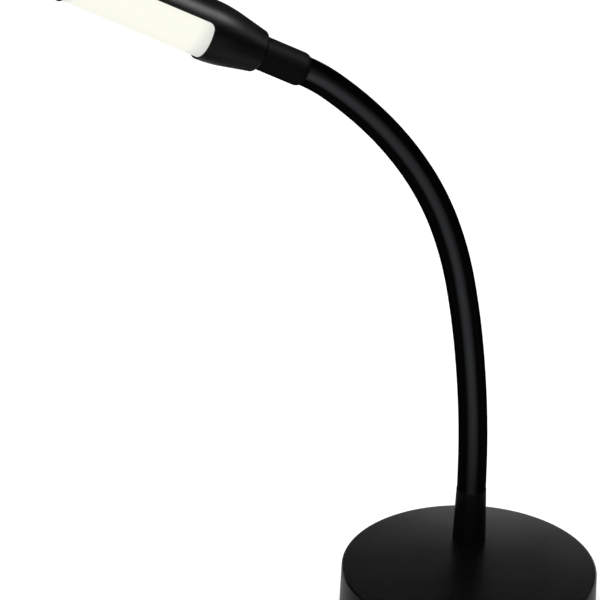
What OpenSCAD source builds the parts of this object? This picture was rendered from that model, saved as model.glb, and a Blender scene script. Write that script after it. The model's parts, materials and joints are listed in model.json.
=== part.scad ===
// Gooseneck desk lamp: a weighted round base, a flexible neck in an arch and a tubular lamp head.
// Millimetres. The origin is the centre of the pad's underside, on the desk. +Z is up, the power
// button is at the front (-Y), the power inlet at the rear (+Y), and the neck arches towards -X.
//
// The neck is cut into rigid lengths, so that it can bend. Each length of steel hose ends in a ball
// that turns in a seat in the next one, and carries its own piece of sleeve and lead.

/* [Base] */
// Diameter of the base at its top edge
base_d = 140; // [130:1:180]
// Height of the base shell
base_h = 29; // [28:1:36]
// Outward lean of the shell's wall towards the desk, in degrees
base_draft = 1; // [0:0.5:2]
// Thickness of the shell's wall and top
shell_wall = 2.5; // [2:0.25:3.5]
// Radius of the rounded top edge
base_edge_r = 1.2; // [0.6:0.2:2]
// Thickness of the rubber pad under the base
pad_t = 2; // [1.5:0.25:3]
// How far the pad stands out below the shell's rim
pad_proud = 1; // [0.5:0.25:1.5]
// How far the pad's edge stays inside the bottom plate's edge
pad_inset = 4; // [2:1:10]
// Thickness of the steel bottom plate
plate_t = 1.5; // [1:0.25:2]
// Thickness of the iron ballast
ballast_t = 10; // [6:1:10]
// Space between the ballast's edge and the shell's wall
ballast_inset = 8; // [6:1:16]

/* [Base screws] */
// Number of screws that hold the bottom plate
plate_screws = 4; // [3:1:6]
// Distance from the shell's wall to the middle of a screw boss
boss_inset = 13; // [12:1:18]
// Diameter of a screw boss
boss_d = 8; // [7:0.5:10]
// Thread diameter of the screws in the base
base_screw_d = 3; // [2.5:0.5:4]
// Length of the screws that hold the bottom plate
base_screw_l = 18; // [15:1:19]

/* [Neck post] */
// Distance of the post behind the middle of the base
post_back = 34.5; // [30:0.5:38]
// Height of the post above the base
post_h = 31; // [20:1:45]
// Diameter of the post at its foot
post_foot_d = 18.4; // [17.5:0.1:22]
// How far the post's top edge stands out past the neck
post_lip = 0.2; // [0.1:0.1:1]
// Depth to which the neck's hose sits in the post
post_socket = 8; // [6:1:14]
// Diameter of the threaded stud under the post
stud_d = 10; // [9:1:12]
// Width across the flats of the nut on the stud
stud_nut_w = 14; // [14:1:17]
// Thickness of the nut on the stud
stud_nut_t = 5; // [4:0.5:5]
// Diameter of the washer under the nut
stud_washer_d = 18; // [17:1:22]
// Thickness of that washer
stud_washer_t = 1; // [0.8:0.1:1.2]

/* [Neck] */
// Length of the bending part of the neck
neck_len = 298; // [260:2:340]
// Outer diameter of the neck's sleeve
neck_d = 16; // [15:0.25:17]
// Thickness of the neck's sleeve
sleeve_wall = 0.55; // [0.5:0.05:0.7]
// Diameter of the lead inside the neck
lead_d = 3.8; // [3:0.1:4]
// Turn of the whole arch about the post, in degrees
neck_yaw = 14; // [0:1:30]
// Largest bend of the neck over one length, in degrees
neck_bend_limit = 20; // [16:1:20]

/* [Lamp head] */
// Length of the collar between neck and head
collar_len = 27.4; // [26:0.2:34]
// Diameter of the collar
collar_d = 18.6; // [18.2:0.1:20]
// Length of the housing's tapered tail
tail_len = 34.9; // [33:0.1:46]
// Diameter of the tail's end
tail_end_d = 23.6; // [23:0.1:25]
// Diameter of the head
head_d = 33.2; // [32:0.2:38]
// Length of the window in the housing
window_len = 82.2; // [80:0.2:120]
// Height of the window's long edges above the head's axis
window_edge = 2.3; // [2:0.1:3.5]
// Radius of the window's corners
window_corner = 4; // [2:0.5:5]
// Slant of the window's tail end, which runs towards the tail at the bottom, in degrees
window_slant = 7.5; // [0:0.5:8]
// Length of the ring at the housing's far end
far_ring = 4; // [3:0.5:8]
// Length of the end cap
cap_len = 9; // [8:1:12]
// Radius of the end cap's rounded rim
cap_round = 6; // [3:0.5:6]
// Wall of the housing
head_wall = 2; // [1.8:0.1:2.4]
// Outer diameter of the diffuser
diffuser_d = 30.8; // [30.2:0.1:31.2]
// Wall of the diffuser
diffuser_wall = 1.6; // [1.4:0.1:2]
// Turn of the head about its own axis, in degrees
head_roll = 26; // [-60:1:60]

/* [Head swivel] */
// Diameter of the spindle that the head turns on
spindle_d = 12; // [11:0.5:12]
// Length of the spindle beyond the collar
spindle_proud = 11; // [10:0.5:12]
// Width across the flats of the spindle's nut
spindle_nut_w = 15; // [15:0.5:16]
// Thickness of the spindle's nut
spindle_nut_t = 4; // [3:0.5:4]
// Diameter of the spring washer on the spindle
swivel_washer_d = 18; // [17:0.5:19]
// Thickness of the spring washer
swivel_washer_t = 1; // [0.8:0.1:1.2]

/* [LED strip] */
// Width of the aluminium carrier
carrier_w = 24; // [20:1:24]
// Thickness of the aluminium carrier
carrier_t = 1.5; // [1:0.25:2]
// Width of the LED board
led_board_w = 12; // [10:1:14]
// Thickness of the LED board
led_board_t = 1.2; // [1:0.1:1.6]
// Distance from the middle of one LED to the next
led_step = 5; // [4:0.5:8]
// Side of one LED
led_size = 2.8; // [2:0.1:3.5]
// Height of one LED
led_h = 0.8; // [0.6:0.1:1]
// Distance of each carrier screw from the end of the carrier
carrier_screw_inset = 6; // [5:0.5:8]
// Thread diameter of the carrier's screws
carrier_screw_d = 2.5; // [2:0.5:2.5]

/* [Button, switch and driver] */
// Distance of the power button in front of the middle of the base
button_forward = 50.5; // [46:0.5:52]
// Diameter of the power button
button_d = 16; // [14:0.5:17]
// How far the button stands out of the base
button_proud = 1.2; // [1:0.1:2]
// Travel of the power button
button_travel = 0.8; // [0.5:0.1:0.8]
// Width of the driver board
board_w = 36; // [34:1:40]
// Length of the driver board
board_l = 58; // [54:1:62]
// Thickness of the driver board
board_t = 1.6; // [1.2:0.2:2]
// Height of the pillars that the driver board hangs from
pillar_h = 8; // [8:0.5:8.5]
// Side of the push switch
switch_w = 6; // [6:0.5:8]
// Height of the push switch without its plunger
switch_h = 3.5; // [3.5:0.1:4]

/* [Power inlet] */
// Height of the inlet's middle above the ballast
inlet_rise = 7; // [6:0.5:7.5]
// Outer diameter of the inlet's round nose
inlet_nose_d = 8; // [7.5:0.5:9]
// Bore of the inlet
inlet_bore_d = 6; // [5.6:0.1:6.2]
// Diameter of the inlet's centre pin
inlet_pin_d = 2.1; // [2:0.1:2.5]
// Depth of the inlet's bore, and length of its pin
inlet_depth = 9; // [8:0.5:10]
// Width of the inlet's body
inlet_w = 9; // [9:0.5:11]
// Length of the inlet's body behind the wall
inlet_l = 14; // [12:0.5:16]

/* [Hidden] */
$fn = 64;

// Bend of each length of the neck at rest, in degrees, from the post to the head. The first and
// last are half lengths: one is fixed to the post, the other to the collar.
section_bend = [1, 3.5, 3, 4, 9, 11.5, 10, 9, 11];
last = len(section_bend) - 1;
pitch = neck_len / last;

// Clearances
cut = 1;              // how far a cutting shape runs past what it cuts
running_fit = 0.06;   // a shaft that turns or slides in a hole, on the radius
seat_fit = 0.05;      // a piece pressed or screwed into its seat, on the radius
loose_fit = 0.15;     // a piece laid or slid into place
soft_gap = 0.25;      // rubber or soft plastic beside its neighbour
joint_gap = 0.25;     // between two lengths of the neck at their largest turn
end_step = 0.1;       // a straight end is this much slimmer than the bent length it continues
turn_gap = 0.3;       // between two faces that turn past each other
wide_gap = 0.5;       // round a boss, and round a lead in its passage
screw_gap = 1;        // between a screw's head or nut and what lies beside it
hole_past = 1;        // how far a screw's hole runs past the screw's end
edge_break = 0.4;     // small bevel of an edge, and how far a flush face stands back

// Colours
black_plastic = [0.07, 0.07, 0.075];
black_rubber = [0.04, 0.04, 0.045];
steel = [0.62, 0.63, 0.65];
iron = [0.30, 0.30, 0.31];
brass = [0.80, 0.66, 0.36];
aluminium = [0.80, 0.81, 0.82];
board_green = [0.05, 0.30, 0.16];
lit_white = [1.0, 1.0, 0.93];

// Heights in the base, from the desk
rim_z = pad_t - pad_proud;
base_top = pad_t - pad_proud + base_h;
under_top = base_top - shell_wall;
plate_z = pad_t;
ballast_z = plate_z + plate_t;
ballast_top = ballast_z + ballast_t;
board_z = under_top - pillar_h - board_t;
board_top = board_z + board_t;

// Radii in the base
base_r = base_d / 2;
function wall_r(z) = base_r + (base_top - z) * tan(base_draft);
function inner_r(z) = wall_r(z) - shell_wall;
plate_r = inner_r(plate_z) - loose_fit;
boss_ring_r = inner_r(plate_z) - boss_inset;
boss_angle = 180 / plate_screws;

// Post and stud
neck_r = neck_d / 2;
post_top = base_top + post_h;
post_top_r = neck_r + post_lip;
stud_r = stud_d / 2;
stud_washer_z = under_top - stud_washer_t;
stud_nut_z = stud_washer_z - stud_nut_t;
stud_end = stud_nut_z - screw_gap;

// Neck, from the outside inwards
hose_r = neck_r - sleeve_wall - soft_gap;
ball_r = hose_r - turn_gap;
ball_fit = 0.1;
lead_r = lead_d / 2;
lead_gap = 0.4;       // between the lead and the bore of the hose
lead_bore_r = lead_r + lead_gap;
ball_top = 4;         // height at which the ball is cut off, above its middle

// Bend that the neck has at joint k at rest, and the largest turn of any joint
function joint_bend(k) = (k == 0 ? section_bend[0] : section_bend[k] / 2)
    + (k == last - 1 ? section_bend[last] : section_bend[k + 1] / 2);
largest_turn = neck_bend_limit + max([for (k = [0 : 2 : last - 1]) joint_bend(k)]);
cut_back = neck_r * tan(largest_turn / 2) + joint_gap;
lead_cut_back = lead_r * tan(largest_turn / 2) + joint_gap / 2;
mouth_r = lead_r / cos(largest_turn) + loose_fit;   // lets the next lead swing to its largest turn
mouth_back = lead_gap;                              // how far the mouth starts before the joint

// Arc of each length: its length, its radius, and the heading and place of its start
function section_len(i) = (i == 0 || i == last) ? pitch / 2 : pitch;
function arc_r(i) = section_len(i) / (section_bend[i] * PI / 180);
function heading(i) = i == 0 ? 0 : heading(i - 1) + section_bend[i - 1];
function out(i) = i == 0 ? 0
    : out(i - 1) + arc_r(i - 1) * (cos(heading(i - 1)) - cos(heading(i)));
function up(i) = i == 0 ? 0
    : up(i - 1) + arc_r(i - 1) * (sin(heading(i)) - sin(heading(i - 1)));

// Head, along its own axis from the end of the neck
collar_r = collar_d / 2;
head_r = head_d / 2;
tail_end_r = tail_end_d / 2;
tail_z = collar_len + turn_gap;
window_z = collar_len + tail_len;
window_end = window_z + window_len;
housing_end = window_end + far_ring;
sleeve_socket = 5;    // depth of the sleeve in the collar
hose_socket = 12;     // depth of the hose in the collar
collar_draw_r = 5;    // radius with which the collar's neck end is drawn in
collar_draw = 3;      // length over which it is drawn in
end_wall = 3.5;       // wall at the tail's end, which turns on the spindle
tail_lip_r = 2;       // rounded lip of the tail's end
tail_hollow_lip_r = 0.5;
ogive_r = 80;         // radius of the swelling of the tail
ogive_turn = 10.5;    // degrees through which that radius runs
ogive_end = 1;        // the swelling ends this far before the window
ogive_z = window_z - ogive_end;
diffuser_r = diffuser_d / 2;
diffuser_seat_r = diffuser_r + loose_fit;
window_back = (head_r + window_edge) * tan(window_slant); // reach of the slant towards the tail
diffuser_tuck = 2.5;  // length of diffuser hidden in the ring at each end
diffuser_rise = 1.5;  // height of diffuser hidden above the window's edge
spine_in_r = diffuser_r - diffuser_wall + edge_break;
spine_step = window_edge + diffuser_rise + loose_fit;
diffuser_z = window_z - window_back - diffuser_tuck;
diffuser_end = window_end + diffuser_tuck;

// Spindle, washer and nut of the swivel
spindle_r = spindle_d / 2;
spindle_seat = 0.2;   // gap between the hose's end and the spindle
spindle_z = hose_socket + spindle_seat;
spindle_end = collar_len + spindle_proud;
spindle_bore_r = lead_r + wide_gap;
washer_gap = 0.1;     // the spring washer's gap at its flattest
swivel_washer_z = tail_z + end_wall + washer_gap;
swivel_nut_z = swivel_washer_z + swivel_washer_t;

// LED strip, above the head's axis
carrier_gap = 0.45;   // between the carrier's front and the step that the diffuser rests on
carrier_end_gap = 4;  // between each end of the carrier and the window's end
carrier_x = spine_step + carrier_gap;
carrier_z = window_z + carrier_end_gap;
carrier_l = window_len - 2 * carrier_end_gap;
led_board_x = carrier_x - led_board_t;
led_x = led_board_x - led_h;
carrier_screw_z = [carrier_z + carrier_screw_inset, carrier_z + carrier_l - carrier_screw_inset];
screw_head_r = carrier_screw_d;
carrier_screw_l = 5.5; // length of the carrier's screws in the boss
led_board_z = carrier_screw_z[0] + screw_head_r + screw_gap;
led_board_end = carrier_screw_z[1] - screw_head_r - screw_gap;
lead_landing = 8;     // length of LED board that the lead is soldered to
led_first = led_board_z + lead_landing;
led_count = floor((led_board_end - led_first - led_size) / led_step) + 1;
head_boss_r = 3;
head_lead_rise = 8;   // straight run of the lead as it leaves the spindle

// End cap
spigot_wall = 1.5;
spigot_reach = 2;     // how far the spigot reaches past the window's end
cap_hollow_r = 3;

// Driver, switch and button
button_r = button_d / 2;
button_y = -button_forward;
board_before_switch = 6.5;
board_front = button_y - board_before_switch;
board_back = board_front + board_l;
pillar_side = 6;      // from a pillar's middle to the board's long edge
pillar_front = 18;    // from the front pillars' middles to the board's front edge
pillar_back = 8;      // from the rear pillars' middles to the board's rear edge
pillar_x = board_w / 2 - pillar_side;
pillar_y = [board_front + pillar_front, board_back - pillar_back];
pillar_r = 3;
board_screw_r = 1.25;
board_screw_head_r = 2.3;
board_screw_head_h = 1.4;
switch_top = board_top + switch_h;
plunger_r = 1.7;
plunger_h = 1.2;
button_flange_step = 1.5; // how far the flange stands out past the button
button_flange_r = button_r + button_flange_step;
button_flange_t = 1;
button_stem_r = 2.5;
button_stop = 0.2;    // gap above the button's flange at rest

// Parts on the driver board: a can, a coil, a chip and the wires' landing
can_r = 5;
can_h = 5;
coil_r = 3;
coil_h = 6.5;
chip = [5, 4, 1.6];
landing = [4, 6, 2.4];

// Inlet
inlet_z = ballast_top + inlet_rise;
inlet_face = wall_r(inlet_z) - edge_break;
inlet_body_y = inner_r(inlet_z) - edge_break;
inlet_r = inlet_nose_d / 2;
inlet_h = 11;
cheek_t = shell_wall / 2;
cheek_short = 2;      // the cheeks stop this far before the inlet's rear
wire_r = 0.8;
wire_z = board_top + wire_r;
wire_apart = 3;       // distance of each wire from the middle, at the inlet
wire_run = 4;         // straight run of a wire as it leaves the inlet
wire_overlap = 4;     // how far the wires reach over the board
lead_overlap = 5;     // how far the lead reaches over the board
lead_bend = 12;       // run of the lead past the board's rear, before it turns to the post

// ---------- shared shapes ----------

// A tube, or with in = 0 a rod, from height a to height b
module tube(r, in, a, b) {
    difference() {
        translate([0, 0, a]) cylinder(r = r, h = b - a);
        if (in > 0) translate([0, 0, a - cut]) cylinder(r = in, h = b - a + 2 * cut);
    }
}

// A route with its corners rounded: each inner point becomes a short curve that starts and ends
// at distance by from it
function unit(v) = v / norm(v);
function corner(a, b, c, by, n = 4) = [for (k = [0 : n])
    let (t = k / n, p = b + by * unit(a - b), q = b + by * unit(c - b))
    (1 - t) * (1 - t) * p + 2 * t * (1 - t) * b + t * t * q];
function rounded(route, by) = concat([route[0]],
    [for (k = [1 : len(route) - 2]) each corner(route[k - 1], route[k], route[k + 1], by)],
    [route[len(route) - 1]]);

// A round wire swept along a route; side is a direction that the route never runs along
module wire(route, r, side, n = 10) {
    p = rounded(route, 2 * r);
    m = len(p) - 1;
    rings = [for (k = [0 : m])
        let (way = unit(p[min(k + 1, m)] - p[max(k - 1, 0)]), u = unit(cross(way, side)), v = cross(way, u))
        for (j = [0 : n - 1]) p[k] + r * (u * cos(360 * j / n) + v * sin(360 * j / n))];
    polyhedron(rings, concat(
        [[for (j = [0 : n - 1]) j]],
        [for (k = [0 : m - 1], j = [0 : n - 1])
            [k * n + j, (k + 1) * n + j, (k + 1) * n + (j + 1) % n, k * n + (j + 1) % n]],
        [[for (j = [n - 1 : -1 : 0]) m * n + j]]));
}

// Points along an arc of a circle, for outlines
function arc(x, y, r, from, to, n = 6) =
    [for (k = [0 : n]) [x + r * cos(from + (to - from) * k / n), y + r * sin(from + (to - from) * k / n)]];

// Places what follows at each screw of the bottom plate
module at_plate_screws() {
    for (k = [0 : plate_screws - 1])
        rotate(boss_angle + k * 360 / plate_screws) translate([boss_ring_r, 0, 0]) children();
}

// Places what follows at each pillar of the driver board
module at_pillars() {
    for (x = [-pillar_x, pillar_x], y = pillar_y) translate([x, y, 0]) children();
}

// ---------- frames of the neck and the head ----------

// Frame at the start of neck length i: +Z along the neck, +X to the outside of the arch
module at_section(i) {
    translate([0, post_back, post_top]) rotate([0, 0, neck_yaw])
        translate([-out(i), 0, up(i)]) rotate([0, -heading(i), 0]) children();
}

// Within the frame of length i, the frame at distance s along its arc
module along(i, s) {
    a = s / arc_r(i) * 180 / PI;
    translate([-arc_r(i) * (1 - cos(a)), 0, arc_r(i) * sin(a)]) rotate([0, -a, 0]) children();
}

// A bent rod that follows length i from distance a to distance b
module bent_rod(i, r, a, b) {
    per_mm = section_bend[i] / section_len(i);
    translate([-arc_r(i), 0, 0]) rotate([90, 0, 0]) rotate([0, 0, a * per_mm])
        rotate_extrude(angle = (b - a) * per_mm, $fn = 360) translate([arc_r(i), 0]) circle(r, $fn = 64);
}

// Frame of the collar: +Z along the head's axis
module at_collar() {
    at_section(last) along(last, section_len(last)) children();
}

// Frame of the head, turned about its axis: -X points out of the window
module at_head() {
    at_collar() rotate([0, 0, head_roll]) children();
}

// ---------- base ----------

module base_shell() {
    color(black_plastic) difference() {
        union() {
            difference() {
                rotate_extrude() {
                    polygon([[0, rim_z], [wall_r(rim_z), rim_z], [base_r, base_top - base_edge_r],
                             [base_r - base_edge_r, base_top - base_edge_r],
                             [base_r - base_edge_r, base_top], [0, base_top]]);
                    translate([base_r - base_edge_r, base_top - base_edge_r]) circle(base_edge_r);
                }
                translate([0, 0, rim_z])
                    cylinder(r1 = inner_r(rim_z), r2 = inner_r(under_top), h = under_top - rim_z);
                translate([0, 0, rim_z - cut]) cylinder(r = inner_r(rim_z), h = cut);
            }
            // bosses for the bottom plate's screws, and pillars for the driver board
            at_plate_screws() tube(boss_d / 2, 0, ballast_z, under_top + shell_wall / 2);
            at_pillars() tube(pillar_r, 0, board_top, under_top + shell_wall / 2);
            // cheeks on both sides of the inlet
            for (side = [-1, 1])
                translate([side * (inlet_w / 2 + turn_gap + cheek_t / 2) - cheek_t / 2,
                           inlet_body_y - inlet_l, inlet_z])
                    cube([cheek_t, inlet_l - cheek_short, under_top - inlet_z + cheek_t]);
        }
        at_plate_screws()
            tube(base_screw_d / 2 + seat_fit, 0, ballast_z - cut, plate_z + base_screw_l + hole_past);
        at_pillars() tube(board_screw_r + seat_fit, 0, board_top - cut, under_top);
        translate([0, post_back, 0]) tube(stud_r + seat_fit, 0, under_top - cut, base_top + cut);
        translate([0, button_y, 0]) tube(button_r + loose_fit, 0, under_top - cut, base_top + cut);
        translate([0, inner_r(inlet_z) - shell_wall, inlet_z]) rotate([-90, 0, 0])
            tube(inlet_r + loose_fit, 0, 0, 3 * shell_wall);
    }
}

module base_plate() {
    color(steel) difference() {
        tube(plate_r, 0, plate_z, ballast_z);
        at_plate_screws() {
            tube(base_screw_d / 2 + loose_fit, 0, plate_z - cut, ballast_z + cut);
            screw_cone(loose_fit);
        }
    }
}

// Countersunk head of a bottom screw, flush with the plate's underside
module screw_cone(fit) {
    translate([0, 0, plate_z])
        cylinder(r1 = base_screw_d + fit, r2 = base_screw_d / 2 + fit, h = plate_t);
}

module base_pad() {
    color(black_rubber) rotate_extrude()
        polygon([[0, 0], [plate_r - pad_inset - pad_t / 4, 0], [plate_r - pad_inset, pad_t / 4],
                 [plate_r - pad_inset, pad_t], [0, pad_t]]);
}

module ballast() {
    color(iron) difference() {
        tube(inner_r(ballast_z) - ballast_inset, 0, ballast_z, ballast_top);
        at_plate_screws() tube(boss_d / 2 + wide_gap, 0, ballast_z - cut, ballast_top + cut);
    }
}

module base_screws() {
    color(steel) at_plate_screws() {
        screw_cone(0);
        translate([0, 0, plate_z]) cylinder(r = base_screw_d / 2, h = base_screw_l);
    }
}

module neck_post() {
    color(black_plastic) translate([0, post_back, 0]) difference() {
        union() {
            translate([0, 0, base_top]) cylinder(r1 = post_foot_d / 2, r2 = post_top_r, h = post_h);
            tube(stud_r, 0, stud_end, base_top + cut);
        }
        tube(hose_r + seat_fit, 0, post_top - post_socket, post_top + cut);
        tube(lead_bore_r, 0, stud_end - cut, post_top);
    }
}

module post_washer() {
    color(steel) translate([0, post_back, 0])
        tube(stud_washer_d / 2, stud_r + seat_fit, stud_washer_z, under_top);
}

module post_nut() {
    color(steel) translate([0, post_back, stud_nut_z]) difference() {
        cylinder(r = stud_nut_w / 2 / cos(30), h = stud_nut_t, $fn = 6);
        translate([0, 0, -cut]) cylinder(r = stud_r + seat_fit, h = stud_nut_t + 2 * cut);
    }
}

// ---------- driver, switch and button ----------

module driver_board() {
    color(board_green) difference() {
        translate([-board_w / 2, board_front, board_z]) cube([board_w, board_l, board_t]);
        at_pillars() tube(board_screw_r + loose_fit, 0, board_z - cut, board_top + cut);
    }
}

module driver_parts() {
    color(iron) translate([0, 0, board_top]) {
        translate([-1.6 * can_r, pillar_y[0] + 2.8 * can_r, 0]) cylinder(r = can_r, h = can_h);
        translate([7 / 3 * coil_r, pillar_y[0] + 4 * coil_r, 0]) cylinder(r = coil_r, h = coil_h);
        translate([coil_r, pillar_y[0] + 19 / 3 * coil_r, 0]) cube(chip);
        translate([landing[0] - board_w / 2, board_front + landing[0] + edge_break, 0]) cube(landing);
    }
}

module board_screws() {
    color(steel) at_pillars() {
        tube(board_screw_head_r, 0, board_z - board_screw_head_h, board_z);
        tube(board_screw_r, 0, board_z - board_screw_head_h / 2, board_top + pillar_h - 2 * hole_past);
    }
}

module push_switch() {
    color(black_plastic) difference() {
        translate([-switch_w / 2, button_y - switch_w / 2, board_top]) cube([switch_w, switch_w, switch_h]);
        translate([0, button_y, 0])
            tube(plunger_r + running_fit, 0, switch_top - plunger_h - 2 * button_travel, switch_top + cut);
    }
}

module switch_plunger() {
    color(steel) translate([0, button_y, 0])
        tube(plunger_r, 0, switch_top - plunger_h, switch_top + plunger_h);
}

module power_button() {
    color(black_plastic) translate([0, button_y, 0]) {
        difference() {
            intersection() {
                tube(button_r, 0, under_top - button_stop - button_flange_t, base_top + button_proud);
                // the crown is part of a large ball
                translate([0, 0, base_top + button_proud - 4 * button_d]) sphere(4 * button_d, $fn = 128);
            }
            tube(button_r - shell_wall, 0, 0, base_top - shell_wall / 2);
        }
        tube(button_flange_r, button_r - shell_wall / 2, under_top - button_stop - button_flange_t,
             under_top - button_stop);
        tube(button_stem_r, 0, switch_top + plunger_h, base_top - shell_wall / 4);
    }
}

// ---------- inlet and leads in the base ----------

module power_inlet() {
    color(black_plastic) difference() {
        union() {
            translate([-inlet_w / 2, inlet_body_y - inlet_l, inlet_z - inlet_h / 2])
                cube([inlet_w, inlet_l, inlet_h]);
            translate([0, inlet_body_y - cut, inlet_z]) rotate([-90, 0, 0])
                cylinder(r = inlet_r, h = inlet_face - inlet_body_y + cut);
        }
        translate([0, inlet_face - inlet_depth - cut, inlet_z]) rotate([-90, 0, 0])
            cylinder(r = inlet_bore_d / 2, h = inlet_depth + 2 * cut);
    }
}

module inlet_pin() {
    color(brass) translate([0, inlet_face - inlet_depth - cut, inlet_z]) rotate([-90, 0, 0])
        cylinder(r = inlet_pin_d / 2, h = inlet_depth);
}

module inlet_wires() {
    tail_y = inlet_body_y - inlet_l;
    clear_x = stud_nut_w / 2 + screw_gap;
    color(black_rubber) for (side = [-1, 1])
        wire([[side * wire_apart, tail_y, wire_z], [side * wire_apart, tail_y - wire_run, wire_z],
              [side * clear_x, tail_y - 3 * wire_run, wire_z],
              [side * clear_x, board_back - wire_overlap, wire_z]], wire_r, [0, 0, 1]);
}

module base_lead() {
    low_z = stud_end - lead_r - lead_gap;
    board_level = board_top + lead_r;
    color(black_rubber) wire([
        [0, post_back, post_top - post_socket],
        [0, post_back, low_z],
        [0, board_back + lead_r + lead_bend, low_z],
        [0, board_back + lead_r + screw_gap, board_level],
        [0, board_back - lead_overlap, board_level]], lead_r, [1, 0, 0]);
}

// ---------- neck ----------

// One length of steel hose: the seat for the ball below it, the bent tube, and its own ball
module neck_hose(i) {
    length = section_len(i);
    start = i == 0 ? 0 : cut_back;
    stop = i == last ? length : length - cut_back;
    color(steel) at_section(i) difference() {
        union() {
            bent_rod(i, hose_r, start, stop);
            if (i == 0) tube(hose_r, 0, -post_socket, 0);
            if (i == last) along(i, length) tube(hose_r - end_step, 0, -end_step, hose_socket);
            else along(i, length) sphere(ball_r);
        }
        bent_rod(i, lead_bore_r, -cut, length);
        if (i == 0) tube(lead_bore_r + end_step, 0, -post_socket - cut, end_step);
        else sphere(ball_r + ball_fit);
        along(i, length) {
            if (i == last) tube(lead_bore_r + end_step, 0, -end_step, hose_socket + cut);
            else {
                tube(ball_r, 0, ball_top, ball_r + cut);
                // the mouth that the next lead swings in
                translate([0, 0, -mouth_back])
                    cylinder(r1 = mouth_r - mouth_back * tan(largest_turn),
                             r2 = mouth_r + (ball_top + cut) * tan(largest_turn),
                             h = mouth_back + ball_top + cut);
            }
        }
    }
}

module neck_sleeve(i) {
    length = section_len(i);
    start = i == 0 ? 0 : cut_back;
    stop = i == last ? length : length - cut_back;
    in = neck_r - sleeve_wall;
    color(black_rubber) at_section(i) {
        difference() {
            bent_rod(i, neck_r, start, stop);
            bent_rod(i, in, start - cut, stop + cut);
        }
        if (i == last) along(i, length) tube(neck_r - end_step, in - end_step / 2, -end_step, sleeve_socket);
    }
}

module neck_lead(i) {
    length = section_len(i);
    color(black_rubber) at_section(i) {
        bent_rod(i, lead_r, i == 0 ? 0 : lead_cut_back, i == last ? length : length - lead_cut_back);
        if (i == 0) tube(lead_r, 0, -post_socket, 0);
        if (i == last) along(i, length) tube(lead_r - end_step, 0, -end_step, spindle_end);
    }
}

// ---------- swivel ----------

module head_collar() {
    color(black_plastic) at_collar() difference() {
        rotate_extrude() {
            // the neck end is drawn in over its first millimetres
            polygon(concat([[0, 0]],
                arc(collar_r - collar_draw_r, collar_draw, collar_draw_r,
                    -asin(collar_draw / collar_draw_r), 0),
                [[collar_r, collar_len - edge_break], [collar_r - edge_break, collar_len], [0, collar_len]]));
        }
        tube(neck_r + seat_fit, 0, -cut, sleeve_socket);
        tube(hose_r + seat_fit, 0, 0, spindle_z);
        tube(spindle_r + seat_fit, 0, 0, collar_len + cut);
    }
}

module swivel_spindle() {
    color(steel) at_collar() tube(spindle_r, spindle_bore_r, spindle_z, spindle_end);
}

module swivel_washer() {
    color(steel) at_collar()
        tube(swivel_washer_d / 2, spindle_r + seat_fit, swivel_washer_z, swivel_nut_z);
}

module swivel_nut() {
    color(brass) at_collar() translate([0, 0, swivel_nut_z]) difference() {
        cylinder(r = spindle_nut_w / 2 / cos(30), h = spindle_nut_t, $fn = 6);
        translate([0, 0, -cut]) cylinder(r = spindle_r + seat_fit, h = spindle_nut_t + 2 * cut);
    }
}

// ---------- head ----------

// Outside of the housing, or with wall > 0 the hollow of its tail
module tail_outline(wall) {
    top = wall > 0 ? ogive_z + cut : housing_end;
    foot = tail_z + (wall > 0 ? end_wall : 0);
    end_r = tail_end_r - wall;
    lip = wall > 0 ? tail_hollow_lip_r : tail_lip_r;
    rotate_extrude() polygon(concat(
        [[0, foot]],
        arc(end_r - lip, foot + lip, lip, -90, 0, 5),
        arc(head_r - ogive_r, ogive_z, ogive_r - wall, -ogive_turn, 0, 8),
        [[head_r - wall, top], [0, top]]));
}

// The window, seen from the side: +X up, +Y along the head
module window_outline() {
    low = -head_r - cut;
    c = window_corner;
    x = window_edge - c;
    // the slanted end meets the corner's arc without a kink
    foot = window_z + c * (1 - cos(window_slant)) - (x + c * sin(window_slant) - low) * tan(window_slant);
    polygon(concat([[low, window_end], [low, foot]],
        arc(x, window_z + c, c, window_slant - 90, 0),
        arc(x, window_end - c, c, 0, 90)));
}

module head_housing() {
    color(black_plastic) at_head() difference() {
        union() {
            difference() {
                tail_outline(0);
                tail_outline(head_wall);
                // seat of the diffuser, open at the far end
                tube(spine_in_r, 0, diffuser_z, housing_end + cut);
                intersection() {
                    tube(diffuser_seat_r, 0, diffuser_z, housing_end + cut);
                    translate([-head_r, -head_r, diffuser_z - cut])
                        cube([head_r + spine_step, head_d, housing_end + 3 * cut - diffuser_z]);
                }
                rotate([90, 0, 0]) linear_extrude(height = head_d + cut, center = true) window_outline();
            }
            for (z = carrier_screw_z) translate([carrier_x + carrier_t, 0, z]) rotate([0, 90, 0])
                cylinder(r = head_boss_r, h = spine_in_r + head_wall / 4 - carrier_x - carrier_t);
        }
        tube(spindle_r + running_fit, 0, tail_z - cut, tail_z + end_wall + cut);
        for (z = carrier_screw_z) translate([carrier_x, 0, z]) rotate([0, 90, 0])
            cylinder(r = carrier_screw_d / 2 + seat_fit, h = carrier_t + carrier_screw_l + hole_past / 2);
    }
}

module end_cap() {
    spigot_r = diffuser_r - diffuser_wall - loose_fit;
    spigot_in = spigot_r - spigot_wall;
    spigot_z = window_end - spigot_reach;
    cap_end = housing_end + cap_len;
    flat_r = head_r - cap_round;
    color(black_plastic) at_head() rotate_extrude() polygon(concat(
        [[spigot_in, spigot_z], [spigot_r, spigot_z], [spigot_r, housing_end], [head_r, housing_end]],
        arc(flat_r, cap_end - cap_round, cap_round, 0, 90),
        [[0, cap_end], [0, cap_end - head_wall]],
        arc(spigot_in - cap_hollow_r, cap_end - head_wall - cap_hollow_r, cap_hollow_r, 90, 0, 4)));
}

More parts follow.
